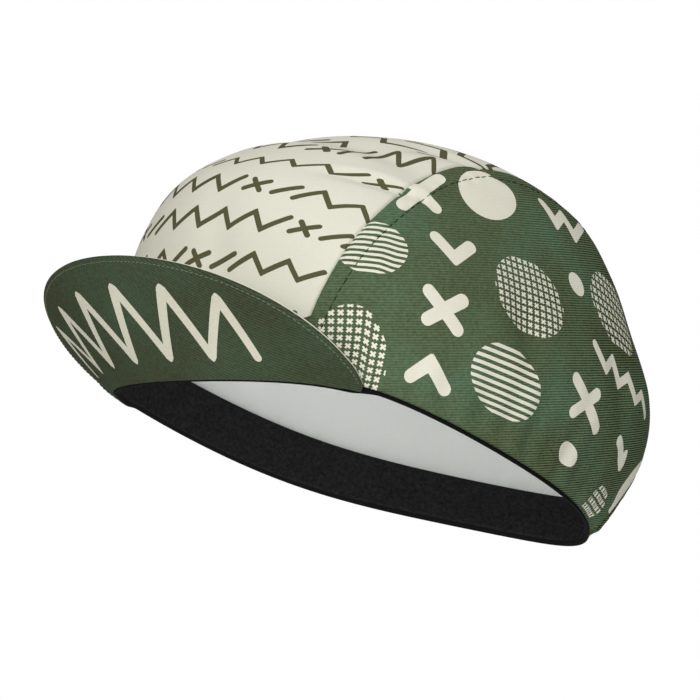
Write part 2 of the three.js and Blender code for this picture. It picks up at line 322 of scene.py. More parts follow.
def finely(shape, most=1.6):
    """The polygon with no side longer than most, so that it can follow the cloth's curve."""
    parts = []
    for a, b in zip(shape, np.roll(shape, -1, axis=0)):
        count = max(int(np.ceil(np.linalg.norm(b - a) / most)), 1)
        parts.append(a + (b - a) * np.linspace(0, 1, count, endpoint=False)[:, None])
    return np.concatenate(parts)


def far_from(points, line):
    """The distance from each point to an open line of points."""
    best = np.full(len(points), 1e9)
    for a, b in zip(line, line[1:]):
        run = b - a
        t = np.clip((points - a) @ run / max(run @ run, 1e-12), 0, 1)
        best = np.minimum(best, np.linalg.norm(points - a - t[:, None] * run, axis=1))
    return best


def within(points, shape):
    """Which points lie inside the polygon."""
    low, high = shape.min(0), shape.max(0)
    near = np.nonzero(np.all((points > low) & (points < high), axis=1))[0]
    x, y = points[near].T
    inside = np.zeros(len(near), bool)
    for a, b in zip(shape, np.roll(shape, -1, axis=0)):
        if a[1] != b[1]:
            inside ^= ((a[1] > y) != (b[1] > y)) & (x < a[0] + (b[0] - a[0]) * (y - a[1]) / (b[1] - a[1]))
    return near[inside]


def printed_cloth(name, outline, shapes, place, spacing, rings=(0.3, 0.7, 1.2, 1.9)):
    """A closed cloth piece. The outline and the printed shapes are cut into one flat net, in mm, and
    place() sets its points in space, once for the outer face and once for the inner one."""
    closed = np.concatenate([outline, outline[:1]])
    flow = unit(np.roll(outline, -1, axis=0) - np.roll(outline, 1, axis=0))
    area = np.sum(outline[:, 0] * np.roll(outline[:, 1], -1) - np.roll(outline[:, 0], -1) * outline[:, 1])
    inward = np.stack([-flow[:, 1], flow[:, 0]], -1) * np.sign(area)
    inner = [outline + inward * r for r in rings]
    inner = [ring[far_from(ring, closed) > 0.9 * r] for ring, r in zip(inner, rings)]
    low, high = outline.min(0), outline.max(0)
    xs = np.arange(low[0] + spacing / 2, high[0], spacing)
    ys = np.arange(low[1] + spacing / 2, high[1], spacing * 0.87)
    grid = np.array([(x + spacing / 2 * (n % 2), y) for n, y in enumerate(ys) for x in xs])
    grid = grid[far_from(grid, closed) > rings[-1] + spacing * 0.6]
    points, edges = [], []
    for shape in [outline, *shapes]:
        start, sides = len(points), len(shape)
        edges += [(start + n, start + (n + 1) % sides) for n in range(sides)]
        points.extend(shape)
    points = [Vector(p) for part in (points, *inner, grid) for p in part]
    flat, _, cut, _, _, _ = delaunay_2d_cdt(points, edges, [], 0, 1e-4, False)
    flat, cut = np.array([(p.x, p.y) for p in flat]), np.array(cut)
    cut = cut[within(flat[cut].mean(1), outline)]
    used = sorted(set(cut.ravel().tolist()))
    flat, cut = flat[used], np.searchsorted(used, cut)
    triangles = [tuple(t) for t in cut.tolist()]
    middles = flat[cut].mean(1)
    ink = np.zeros(len(cut), int)
    for shape in shapes:
        ink[within(middles, shape)] = 1
    count = len(flat)
    outer, inside = place(flat, True), place(flat, False)
    edges = dict.fromkeys(e for a, b, c in triangles for e in ((a, b), (b, c), (c, a)))
    rim = [(a, b) for a, b in edges if (b, a) not in edges]
    every = np.concatenate([outer, inside])
    solid = triangles + [(c + count, b + count, a + count) for a, b, c in triangles]
    solid += [t for a, b in rim for t in ((b, a, a + count), (b, a + count, b + count))]
    corners = every[np.array(solid)]
    if np.sum(np.cross(corners[:, 0], corners[:, 1]) * corners[:, 2]) < 0:
        solid = [t[::-1] for t in solid]
    mesh = bpy.data.meshes.new(name)
    mesh.from_pydata(every / 1000, [], solid)
    marks = [*ink] + [2] * len(ink) + [0] * (2 * len(rim))
    mesh.polygons.foreach_set("material_index", marks)
    mesh.polygons.foreach_set("use_smooth", [True] * len(solid))
    layer = mesh.uv_layers.new(name="flat")
    doubled = np.concatenate([flat, flat])
    loops = np.zeros(len(mesh.loops), int)
    mesh.loops.foreach_get("vertex_index", loops)
    layer.data.foreach_set("uv", doubled[loops].ravel())
    mesh.set_sharp_from_angle(angle=math.radians(60))
    mesh.update()
    piece = bpy.data.objects.new(name, mesh)
    bpy.context.scene.collection.objects.link(piece)
    return piece


# Knitted polyester with a fine level rib, heat-printed: matt and a little heathered. The ribs'
# grooves are also painted darker in the colour, a painted shade, and more so towards the back.
CREAM = "#dedccc"
OLIVE = "#58563c"
REVERSE_WHITE = "#f1f3f0"
RIB_PITCH = 0.85  # mm
RIB_WAY = (-0.05, 0.35, -0.936)  # the ribs lie level and rise towards the nape


def knitted_polyester(name, colour, rib_shade, mottle, pitch=RIB_PITCH, way=RIB_WAY, second=None):
    """ribs is how much painted shade darkens the grooves' lines in front and at the back, mottle how uneven
    the colour is, and second another shade that the colour drifts to."""
    material = bpy.data.materials.new(name)
    material.use_nodes = True
    tree = material.node_tree
    shader = tree.nodes["Principled BSDF"]
    where = add(tree, "ShaderNodeTexCoord").outputs["Object"]
    run = add(tree, "ShaderNodeVectorMath", {"operation": "DOT_PRODUCT"}, {0: where, 1: way})
    slow = add(tree, "ShaderNodeTexNoise", inputs={"Vector": where, "Scale": 55.0, "Detail": 2.0})
    wander = add(tree, "ShaderNodeMath", {"operation": "MULTIPLY"}, {0: slow.outputs["Fac"], 1: 0.9})
    phase = add(tree, "ShaderNodeMath", {"operation": "MULTIPLY_ADD"}, {
        0: run.outputs["Value"], 1: 2 * math.pi * 1000 / pitch, 2: wander.outputs[0]})
    wave = add(tree, "ShaderNodeMath", {"operation": "SINE"}, {0: phase.outputs[0]})
    place = add(tree, "ShaderNodeSeparateXYZ", inputs={0: where})
    # painted shade: the grooves are darkened in the colour, a little in front and more towards the back
    share = add(tree, "ShaderNodeMapRange", inputs={
        "Value": place.outputs["Y"], "From Min": -0.03, "From Max": 0.04, "To Min": rib_shade[0], "To Max": rib_shade[1]})
    groove = add(tree, "ShaderNodeMath", {"operation": "MULTIPLY"}, {0: wave.outputs[0], 1: share.outputs[0]})
    fine = add(tree, "ShaderNodeTexNoise", inputs={"Vector": where, "Scale": 900.0, "Detail": 3.0})
    broad = add(tree, "ShaderNodeTexNoise", inputs={"Vector": where, "Scale": 30.0, "Detail": 4.0})
    tone = add(tree, "ShaderNodeMath", {"operation": "ADD"}, {0: fine.outputs["Fac"], 1: broad.outputs["Fac"]})
    tone = add(tree, "ShaderNodeMath", {"operation": "MULTIPLY_ADD"}, {0: tone.outputs[0], 1: mottle, 2: 1 - mottle})
    tone = add(tree, "ShaderNodeMath", {"operation": "ADD"}, {0: tone.outputs[0], 1: groove.outputs[0]})
    drift = add(tree, "ShaderNodeMapRange", inputs={
        "Value": broad.outputs["Fac"], "From Min": 0.35, "From Max": 0.65, "To Min": 0.0, "To Max": 1.0})
    shade = add(tree, "ShaderNodeMix", {"data_type": "VECTOR"}, {
        "Factor": drift.outputs[0], 4: linear(colour)[:3], 5: linear(second or colour)[:3]})
    paint = add(tree, "ShaderNodeVectorMath", {"operation": "SCALE"}, {0: shade.outputs[1], "Scale": tone.outputs[0]})
    tree.links.new(paint.outputs[0], shader.inputs["Base Color"])
    rise = add(tree, "ShaderNodeMath", {"operation": "MULTIPLY_ADD"}, {
        0: fine.outputs["Fac"], 1: 0.6, 2: groove.outputs[0]})
    bump = add(tree, "ShaderNodeBump", inputs={"Height": rise.outputs[0], "Strength": 0.4, "Distance": 0.0003})
    tree.links.new(bump.outputs[0], shader.inputs["Normal"])
    shader.inputs["Roughness"].default_value = 0.82
    shader.inputs["Specular IOR Level"].default_value = 0.08
    return material


cream_ground = knitted_polyester("cream knitted polyester", CREAM, (0.012, 0.03), 0.05)
olive_print = knitted_polyester("olive print on polyester", OLIVE, (0.03, 0.06), 0.12)
white_reverse = knitted_polyester("white reverse of the knit", REVERSE_WHITE, (0.01, 0.01), 0.03)

# The print's rows in mm: where a row crosses the panel's middle line, where its cross sits, how many
# long strokes its zigzag has, and how far it climbs at some way out from the middle, by which power.
# The rows over the forehead are charted one by one, also with the share that they are flattened and
# narrowed, how far they lean, and where they stop short. From the top on they lie evenly.
RISE_AT, RISE_POWER = 60, 3
ROWS = [
    {"along": 8, "cross": -22},
    {"along": 19, "cross": 40, "rise": 1.5},
    {"along": 37.3, "cross": 15, "strokes": 3, "rise": 2.9},
    {"along": 52.6, "cross": 53, "rise": 6.5},
    {"along": 67, "cross": 29, "rise": 7.5, "tall": 0.95, "lean": 0.15},
    {"along": 79.8, "cross": 59.7, "rise": 19, "tall": 0.66, "wide": 0.9},
    {"along": 95.5, "cross": 33.5, "rise": 60, "power": 5, "until": 39},
    {"along": 111, "cross": 4, "rise": 50, "power": 5, "until": 39},
    {"along": 125.5, "cross": 51, "rise": 44, "power": 5},
    {"along": 140, "cross": 22, "rise": 25, "power": 5},
    {"along": 154.5, "cross": 63, "rise": 12, "power": 5},
]
EVEN_FROM, EVEN_PITCH = 168.9, 14.4
EVEN_CROSSES = (12, 38, 57, 18, 44, 8, 31, 52, 20, 60, 36, 10, 46, 27)
ROWS += [{"along": EVEN_FROM + EVEN_PITCH * n, "cross": cross, "rise": -min(n, 6) * 1.5}
         for n, cross in enumerate(EVEN_CROSSES)]
FOLD_STROKES = [  # where the fold beside the top turns the rows: along and across, in mm
    [(98.8, 39.5), (116.7, 40.7)],
    [(104.2, 46.3), (124.5, 45), (115.1, 53.3), (136.1, 52.1), (128.4, 59.5)],
]
CROSS_AND_SLASH = ([(-4.5, -2.3), (4.5, 2.3)], [(-1.9, 2.6), (1.9, -2.6)], [(6.7, -2.6), (15.7, 2.6)])
ZIGZAG_START = (14.6, -3.3)
LONG_STROKE = (8.7, 6.7)
STEEP_STROKE = (4.2, -6.7)
OLIVE_STROKE = 2.0
ROW_GAP, ROW_HALF = 6, 120  # between a zigzag and the next cross, and how far rows go out

STRIP_SCALE = math.degrees(1) * 1.8  # flat mm for each radian
run_table = np.radians(np.arange(0, 181, 1.0))
out_table = np.radians(np.arange(0, 46, 1.0))
lattice = crown_base(*turn_climb(on_arch(*np.meshgrid(run_table, out_table, indexing="ij"))))
length_table = np.concatenate([[0], np.cumsum(np.linalg.norm(np.diff(lattice[:, 0], axis=0), axis=-1))])
width_table = np.concatenate([
    np.zeros((len(run_table), 1)), np.cumsum(np.linalg.norm(np.diff(lattice, axis=1), axis=-1), axis=1)], 1)


def on_strip(points):
    """From mm along the middle line and mm out from it to the flat net of the centre panel."""
    s, w = points[:, 0], points[:, 1]
    run = np.interp(s, length_table, run_table)
    step = np.clip(np.degrees(run), 0, 179.999)
    i = step.astype(int)
    f = (step - i)[:, None]
    widths = width_table[i] * (1 - f) + width_table[i + 1] * f
    out = np.array([np.interp(abs(x), row, out_table) for x, row in zip(w, widths)]) * np.sign(w)
    return np.stack([run, out], -1) * STRIP_SCALE


def row_shapes(cross, strokes=5):
    """One row of the print as polygons: a cross, a slash and a zigzag, over and over."""
    long, steep = np.array(LONG_STROKE), np.array(STEEP_STROKE)
    zigzag = [np.array(ZIGZAG_START)]
    for n in range(strokes):
        zigzag.append(zigzag[-1] + long)
        if n < strokes - 1:
            zigzag.append(zigzag[-1] + steep)
    repeat = zigzag[-1][0] + ROW_GAP
    shapes = []
    for n in range(math.floor((-ROW_HALF - cross) / repeat), math.ceil((ROW_HALF - cross) / repeat) + 1):
        for line in (*CROSS_AND_SLASH, zigzag):
            shapes += stroke(np.array(line) + (cross + n * repeat, 0), OLIVE_STROKE)
    return shapes


laid = []
for row in ROWS:
    for shape in row_shapes(row["cross"], row.get("strokes", 5)):
        if shape[:, 0].max() > row.get("until", math.inf):
            continue
        across, up = finely(shape).T
        across = row["cross"] + (across - row["cross"]) * row.get("wide", 1) - row.get("lean", 0) * up
        climb = row.get("rise", 0) * (np.abs(across) / RISE_AT) ** row.get("power", RISE_POWER)
        laid.append(on_strip(np.stack([row["along"] + up * row.get("tall", 1) + climb, across], -1)))
laid += [on_strip(finely(shape)) for line in FOLD_STROKES for shape in stroke(line, OLIVE_STROKE)]
strip_shapes = [shape for shape in laid if abs(shape[:, 1]).max() < out_table[-1] * STRIP_SCALE * 0.999
                and shape[:, 0].min() > 0 and shape[:, 0].max() < math.pi * STRIP_SCALE]

shares = np.linspace(0, 1, 221)
SEAM_CUT = 0.01 / 88  # half of the seam's width, as an angle
seam_line = np.stack([shares * math.pi, seam_out(shares) - SEAM_CUT], -1) * STRIP_SCALE
front_edge, nape_edge = (
    np.stack([np.full(41, run), np.linspace(-1, 1, 41) * out], -1) for run, out in (seam_line[0], seam_line[-1]))
mirrored = seam_line * (1, -1)
strip_outline = np.concatenate([mirrored, nape_edge[1:-1], seam_line[::-1], front_edge[::-1][1:-1]])


SEAM_ROLL, RIM_ROLL, ROLL_REACH = 0.6, 0.4, 0.55  # mm
SLOPE_DEPTH, SLOPE_REACH = 0.1, 3


def rolled(far, depth=SEAM_ROLL):
    """How deep the cloth dips beside a seam or a folded edge, far mm away."""
    return depth * np.exp(-(far / ROLL_REACH) ** 2) + SLOPE_DEPTH * np.exp(-(far / SLOPE_REACH) ** 2)


def place_strip(flat, outer):
    run, out = (flat / STRIP_SCALE).T
    far_seam = np.minimum(far_from(flat, seam_line), far_from(flat, mirrored))
    far_rim = np.minimum(flat[:, 0] - seam_line[0, 0], seam_line[-1, 0] - flat[:, 0])
    dip = rolled(far_seam) + rolled(far_rim, RIM_ROLL)
    return crown_point(on_arch(run, out), dip if outer else np.full(len(flat), CLOTH_DEPTH))


centre_panel = printed_cloth("crown_centre_panel_cloth", strip_outline, strip_shapes, place_strip, 1.6)
for material in (cream_ground, olive_print, white_reverse):
    centre_panel.data.materials.append(material)
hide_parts("crown_centre_panel")
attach(centre_panel, "root")

# Side panels: half-moons of the same knit, printed green with cream discs, crosses, ticks and
# zigzags. The seam beside the centre panel turns its raw edges to this side and a row of dark
# stitches holds them down, which leaves a low welt along the seam.
GREEN, GREEN_COOLER = "#566144", "#4e634b"
PRINTED_CREAM = "#e3e0cf"
SIDE_SCALE = math.degrees(1) * 1.65  # flat mm for each radian
WELT_WIDTH, WELT_HEIGHT = 6.0, 0.35
WELT_CLIMB, WELT_FALL, WELT_SHOULDER = 1.6, 1.8, 1  # it falls off from a shoulder inside its edge
GROOVE_DEPTH, GROOVE_REACH = 0.3, 0.6  # along the stitches
PUCKER_DEPTH, PUCKER_REACH = 0.17, 2.8
PUCKER_WAVE, PUCKER_DRIFT = (0.9, 0.5), (0.31, -0.4)  # radians for each flat mm
CREAM_STROKE = 4.7
STRIPE_SHARE = 0.5
CROSS_ARM = (0.39, 0.19)  # corners of a cross's arm, as shares of the crosses' pitch
MOTIFS = [  # degrees to the back and up, then mm: a disc by its half axes and repeats, or lines and a stroke
    {"back": -36.5, "up": 33.4, "kind": "stripes", "across": (11.9, 0.3), "tall": (1, 9.9), "repeats": (1, 9.6)},
    {"back": -10.6, "up": 56, "kind": "disc", "across": (11.6, 5.2), "tall": (-3.9, 9.3)},
    {"back": -1.1, "up": 35.4, "kind": "crosses", "across": (16.5, 2.4), "tall": (-1.9, 14.5), "repeats": (11.6, 11.3)},
    {"back": 10.9, "up": 45.3, "kind": "disc", "across": (3.8, 1.9), "tall": (-2.2, 3.9)},
    {"back": 22.9, "up": 46.4, "kind": "crosses", "across": (16, 1.5), "tall": (-2.5, 15), "repeats": (10, 9.6)},
    {"back": -40.8, "up": 3.9, "kind": "crosses", "across": (12.7, 1.4), "tall": (-0.9, 17.3), "repeats": (9.7, 14)},
    {"back": -1.8, "up": 15, "kind": "stripes", "across": (15.7, 1.4), "tall": (-3.5, 11.5), "repeats": (1, 10)},
    {"back": 19.5, "up": 8.5, "kind": "disc", "across": (4.7, 1.8), "tall": (-3.5, 3.3)},
    {"back": 57, "up": 17, "kind": "disc", "across": (12, 0), "tall": (0, 12)},
    {"back": 42.5, "up": 1.5, "kind": "crosses", "across": (11, 0), "tall": (0, 11), "repeats": (7.6, 7.6)},
    {"back": 50, "up": 44, "kind": "stripes", "across": (12, 0), "tall": (0, 12), "repeats": (1, 10)},
    {"back": -25, "up": 50.4, "lines": [[(-7.7, -8.2), (7.9, 9.2)], [(-5, 5), (5.1, -5.5)]]},
    {"back": 5.9, "up": 60.6, "stroke": 4, "lines": [[(-8.5, 3.2), (-2.7, -3), (2.3, 3.6), (8.4, -2.7), (15.5, 7)]]},
    {"back": -18.6, "up": 37.9, "lines": [[(-7.1, 2.9), (-0.1, -3.3), (6.1, 3.6)]]},
    {"back": -19.3, "up": 24, "lines": [[(-6.3, 4.6), (5.9, -4.8)], [(5.8, 5.2), (-5.5, -5)]]},
    {"back": -18.4, "up": 8.8, "lines": [[(-6.8, -2.8), (-1.3, 3.5), (6.2, -2.3)]]},
    {"back": 17.4, "up": 21, "stroke": 4.4, "lines": [[(-8.2, 5.2), (11, -5.3)], [(-5, -5.3), (4.6, 4.9)]]},
    {"back": 25.8, "up": 30.9, "stroke": 3.4, "lines": [[
        (-19.8, 5.4), (-12.3, -0.5), (-6.9, 5.6), (-0.2, -0.8), (5.3, 4.4), (14, -1.2), (20, 4.2), (29, -0.6)]]},
    {"back": 36.5, "up": 17.5, "stroke": 3.8, "lines": [[(-7.9, 3), (7.6, -2.4), (3.7, 1.6)]]},
    {"back": 36, "up": 58, "lines": [[(-6, 4), (6, -4)], [(-5, -5), (5, 5)]]},
]


def motif_shapes(row):
    """The polygons of one motif, in mm about its middle."""
    if "lines" in row:
        return [shape for line in row["lines"] for shape in stroke(line, row.get("stroke", CREAM_STROKE))]
    shapes = []
    if row["kind"] == "disc":
        shapes.append(circle(1, sides=48))
    elif row["kind"] == "stripes":
        pitch = 2 / row["repeats"][1]
        for low in np.arange(-1 + pitch * STRIPE_SHARE / 2, 1 - pitch * STRIPE_SHARE / 2, pitch):
            ys = np.clip(np.linspace(low, low + pitch * STRIPE_SHARE, 4), -1, 1)
            xs = np.sqrt(np.maximum(1 - ys * ys, 1e-4))
            shapes.append(np.concatenate([np.stack([xs, ys], -1), np.stack([-xs, ys], -1)[::-1]]))
    else:
        pitch = 2 / np.array(row["repeats"])
        a, b = CROSS_ARM
        arm = np.array([(-a, -b), (-b, -a), (a, b), (b, a)])
        for i in range(-7, 8):
            for j in range(-7, 8):
                if math.hypot(*(pitch * (i, j))) < 1.04:  # middles up to the disc's edge
                    for hand in ((1, 1), (1, -1)):
                        cross = (arm * hand + (i, j)) * pitch
                        shapes.append(cross / np.maximum(np.linalg.norm(cross, axis=1, keepdims=True), 1))
    return [shape @ np.array([row["across"], row["tall"]]) for shape in shapes]


def half_moon(points):
    """From the flat angles of the left panel, back and up, to directions."""
    far = np.maximum(np.hypot(*points.T), 1e-9)
    return np.stack([np.cos(far), *(points.T * np.sin(far) / far)], -1)


def flatten(d):
    """The way back, from directions to flat angles."""
    far = np.arccos(np.clip(d[..., 0], -1, 1))
    return d[..., 1:] * (far / np.maximum(np.hypot(d[..., 1], d[..., 2]), 1e-9))[..., None]


def on_side(at):
    """The point of the left panel's face at flat angles, in mm."""
    return crown_base(*turn_climb(half_moon(at[None])))[0]


def lay_motif(row):
    """A motif's polygons on the flat net, undistorted where its middle is."""
    at = np.radians([row["back"], row["up"]])
    step = 1e-3
    ju, jv = ((on_side(at + e) - on_side(at - e)) / (2 * step) for e in (np.array([step, 0]), np.array([0, step])))
    eu = unit(ju)
    ev = unit(jv - (jv @ eu) * eu)
    to_mm = np.array([[ju @ eu, jv @ eu], [0, jv @ ev]])
    return [(at + finely(shape) @ np.linalg.inv(to_mm).T) * SIDE_SCALE for shape in motif_shapes(row)]


side_shapes = [shape for row in MOTIFS for shape in lay_motif(row)]
side_seam = flatten(on_arch(shares * math.pi, seam_out(shares) + SEAM_CUT)) * SIDE_SCALE
side_seam[[0, -1], 1] = 0
foot = np.stack([np.linspace(side_seam[-1, 0], side_seam[0, 0], 161), np.zeros(161)], -1)
side_outline = np.concatenate([side_seam, foot[1:-1]])
SIDE_RINGS = (0.3, 0.7, 1.4, 2.5, 3.6, 4.6, 5.4, 6.0, 6.6, 7.4, 8.4)  # lines of the net along its edges


def side_placing(hand):
    """How the flat net lies in space, on the left for 1 and on the right for -1."""
    def place(flat, outer):
        far_seam = far_from(flat, side_seam)
        beyond = far_seam - WELT_WIDTH
        d = half_moon(flat / SIDE_SCALE) * (hand, 1, 1)
        d[:, 2] = np.maximum(d[:, 2], 0)
        welt = smooth(far_seam / WELT_CLIMB) - smooth((beyond + WELT_SHOULDER) / WELT_FALL)
        groove = np.exp(-(beyond / GROOVE_REACH) ** 2)
        pucker = np.sin(flat @ PUCKER_WAVE + 2 * np.sin(flat @ PUCKER_DRIFT)) * np.exp(-(beyond / PUCKER_REACH) ** 2)
        dip = rolled(far_seam) + rolled(flat[:, 1], RIM_ROLL) - WELT_HEIGHT * welt
        dip = dip + GROOVE_DEPTH * groove + PUCKER_DEPTH * pucker
        return crown_point(d, dip if outer else np.full(len(flat), CLOTH_DEPTH))
    return place


# The green carries the heaviest painted shade in its ribs' grooves, much more at the back.
green_ground = knitted_polyester("green knitted polyester", GREEN, (0.24, 0.85), 1.0, second=GREEN_COOLER)
cream_print = knitted_polyester("cream print on polyester", PRINTED_CREAM, (0.015, 0.05), 0.05)
for name, hand in (("left", 1), ("right", -1)):
    panel = printed_cloth(f"crown_{name}_panel_cloth", side_outline, side_shapes, side_placing(hand), 1.5, SIDE_RINGS)
    for material in (green_ground, cream_print, white_reverse):
        panel.data.materials.append(material)
    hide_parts(f"crown_{name}_panel")
    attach(panel, "root")

# Sewing thread: a row of short stitches holds the seams' raw edges down on the green side. They are
# dark green, sunk in the groove that they pull into the cloth.
THREAD_GREEN = "#1c2217"
SEAM_STITCH = {"Pitch": 3.3, "Stitch length": 2.7, "Thread width": 0.32}  # mm
STITCH_LIFT = 0.1

stitches = bpy.data.node_groups.new("row of stitches", "GeometryNodeTree")
for name, kind in (("Geometry", "Geometry"), ("Pitch", "Float"), ("Stitch length", "Float"),
                   ("Thread width", "Float"), ("Thread", "Material")):
    stitches.interface.new_socket(name, in_out="INPUT", socket_type=f"NodeSocket{kind}")
stitches.interface.new_socket("Geometry", in_out="OUTPUT", socket_type="NodeSocketGeometry")
given = add(stitches, "NodeGroupInput").outputs
line = add(stitches, "GeometryNodeMeshToCurve", inputs={"Mesh": given["Geometry"]})
spaced = add(stitches, "GeometryNodeResampleCurve", {"mode": "LENGTH"}, {
    "Curve": line.outputs[0], "Length": given["Pitch"]})
bead = add(stitches, "GeometryNodeMeshUVSphere", inputs={"Segments": 8, "Rings": 5, "Radius": 0.5})
tangent = add(stitches, "GeometryNodeInputTangent")
lift = add(stitches, "GeometryNodeInputNamedAttribute", {"data_type": "FLOAT_VECTOR"}, {"Name": "lift"})
turned = add(stitches, "FunctionNodeAxesToRotation", {"primary_axis": "X", "secondary_axis": "Z"}, {
    "Primary Axis": tangent.outputs[0], "Secondary Axis": lift.outputs[0]})
uneven = add(stitches, "FunctionNodeRandomValue", {"data_type": "FLOAT"}, {2: 0.85, 3: 1.1, "Seed": 7})
run = add(stitches, "ShaderNodeMath", {"operation": "MULTIPLY"}, {0: given["Stitch length"], 1: uneven.outputs[1]})
size = add(stitches, "ShaderNodeCombineXYZ", inputs={
    "X": run.outputs[0], "Y": given["Thread width"], "Z": given["Thread width"]})
laid_out = add(stitches, "GeometryNodeInstanceOnPoints", inputs={
    "Points": spaced.outputs[0], "Instance": bead.outputs["Mesh"],
    "Rotation": turned.outputs[0], "Scale": size.outputs[0]})
solid = add(stitches, "GeometryNodeRealizeInstances", inputs={"Geometry": laid_out.outputs[0]})
soft = add(stitches, "GeometryNodeSetShadeSmooth", inputs={"Geometry": solid.outputs[0]})
dyed = add(stitches, "GeometryNodeSetMaterial", inputs={"Geometry": soft.outputs[0], "Material": given["Thread"]})
add(stitches, "NodeGroupOutput", inputs={"Geometry": dyed.outputs[0]})


def yarn(name, colour):
    """Matt yarn of one colour, for sewing thread and for the elastic's edge."""
    material = bpy.data.materials.new(name)
    material.use_nodes = True
    shader = material.node_tree.nodes["Principled BSDF"]
    shader.inputs["Base Color"].default_value = linear(colour)
    shader.inputs["Roughness"].default_value = 0.8
    shader.inputs["Specular IOR Level"].default_value = 0.1
    return material


def sew(name, points, up, sizes, material):
    """A row of stitches along points, in mm, with up the way out of the cloth."""
    mesh = bpy.data.meshes.new(name)
    mesh.from_pydata(points / 1000, [(n, n + 1) for n in range(len(points) - 1)], [])
    mesh.attributes.new("lift", "FLOAT_VECTOR", "POINT").data.foreach_set("vector", up.ravel())
    row = bpy.data.objects.new(name, mesh)
    bpy.context.scene.collection.objects.link(row)
    modifier = row.modifiers.new("stitches", "NODES")
    modifier.node_group = stitches
    values = {key: value / 1000 for key, value in sizes.items()} | {"Thread": material}
    for socket in stitches.interface.items_tree:
        if socket.in_out == "INPUT" and socket.name in values:
            modifier[socket.identifier] = values[socket.name]
    made = bpy.data.meshes.new_from_object(row.evaluated_get(bpy.context.evaluated_depsgraph_get()))
    row.modifiers.remove(modifier)
    row.data = made
    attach(row, "root")


flow = unit(np.gradient(side_seam, axis=0))
middle = len(side_seam) // 2
inward = np.stack([flow[:, 1], -flow[:, 0]], -1) * np.sign(np.cross(flow[middle], side_seam[middle]))
sewn = side_seam + inward * WELT_WIDTH
sewn = sewn[(far_from(sewn, side_seam) > 0.98 * WELT_WIDTH) & (sewn[:, 1] > 1)]
dark_thread = yarn("dark green sewing thread", THREAD_GREEN)
for name, hand in (("left", 1), ("right", -1)):
    away = crown_normal(half_moon(sewn / SIDE_SCALE) * (hand, 1, 1))
    thread_line = side_placing(hand)(sewn, True) + STITCH_LIFT * away
    sew(f"{name}_seam_stitches", thread_line, away, SEAM_STITCH, dark_thread)

# Sweatband: black woven elastic, folded over the cloth's edge so that a narrow lip shows outside.
# It is brushed and matt inside, with a sewn line near its lower edge.
BAND_BLACK = "#232325"
LIP_BLACK = "#0d0d0e"
LINT_GREY = "#6c6c70"
BAND_SECTION = [  # mm below the cloth's outer face, where the rim is clear and where the peak is, and height
    {"clear": 0.0, "peak": 1.6, "height": -0.3},
    {"clear": -0.1, "peak": 1.5, "height": -0.5},
    {"clear": 0.1, "peak": 1.6, "height": -0.7},
    {"clear": -0.1, "peak": 1.5, "height": -0.95},
    {"clear": 0.05, "peak": 1.6, "height": -1.25},
    {"clear": 0.5, "peak": 1.9, "height": -1.4},
    {"clear": 1.4, "peak": 2.4, "height": -1.3},
    {"clear": 2.5, "peak": 2.8, "height": -0.7},
    {"clear": 2.85, "peak": 2.85, "height": 0},
    {"clear": 2.75, "peak": 2.75, "height": 0.6},
    {"clear": 2.85, "peak": 2.85, "height": 1.2},
    {"clear": 2.85, "peak": 2.85, "height": 6},
    {"clear": 2.85, "peak": 2.85, "height": 12},
    {"clear": 2.85, "peak": 2.85, "height": 17.4},
    {"clear": 2.7, "peak": 2.7, "height": 18},
    {"clear": 2.3, "peak": 2.3, "height": 18.3},
    {"clear": 1.8, "peak": 1.8, "height": 18},
    {"clear": 1.65, "peak": 1.65, "height": 17.4},
    {"clear": 1.65, "peak": 1.65, "height": 9},
    {"clear": 1.65, "peak": 1.65, "height": 0.4},
    {"clear": 1.5, "peak": 1.7, "height": -0.25},
]
BAND_COLUMNS = 480
BAND_LIP_ROWS = 7
BAND_DROP = 1.5  # how much lower its edge hangs behind the peak
BAND_DROP_END = 1.1  # a share of the peak's half span
BAND_DROP_FULL = 1.25  # the lip's points this far below the rim move down in full

turns = np.linspace(-math.pi, math.pi, BAND_COLUMNS, endpoint=False)
clear = smooth((np.abs(turns) / PEAK_HALF_SPAN - PEAK_END) / (1 - PEAK_END))
drop = BAND_DROP * (1 - smooth((np.abs(turns) / PEAK_HALF_SPAN - PEAK_END) / (BAND_DROP_END - PEAK_END)))


def band_point(turn, depth, height):
    """A point depth mm inside the crown's face and height mm above its rim."""
    up = np.maximum(height, 0) / CROWN_HEIGHT
    p = crown_base(turn, up) - crown_normal(toward(turn, up * math.pi / 2)) * depth[..., None]
    p[..., 2] += np.minimum(height, 0)
    return p


section = [
    band_point(turns, row["peak"] + (row["clear"] - row["peak"]) * clear,
               row["height"] - drop * min(max(-row["height"] / BAND_DROP_FULL, 0), 1))
    for row in BAND_SECTION]
count = len(section)
faces = []
for i in range(BAND_COLUMNS):
    here, there = i * count, (i + 1) % BAND_COLUMNS * count
    faces += [(here + j, here + (j + 1) % count, there + (j + 1) % count, there + j) for j in range(count)]
band_mesh = bpy.data.meshes.new("sweatband")
band_mesh.from_pydata(np.stack(section, 1).reshape(-1, 3) / 1000, [], faces)
band_mesh.polygons.foreach_set("use_smooth", [True] * len(faces))
sweatband = bpy.data.objects.new("sweatband", band_mesh)
bpy.context.scene.collection.objects.link(sweatband)

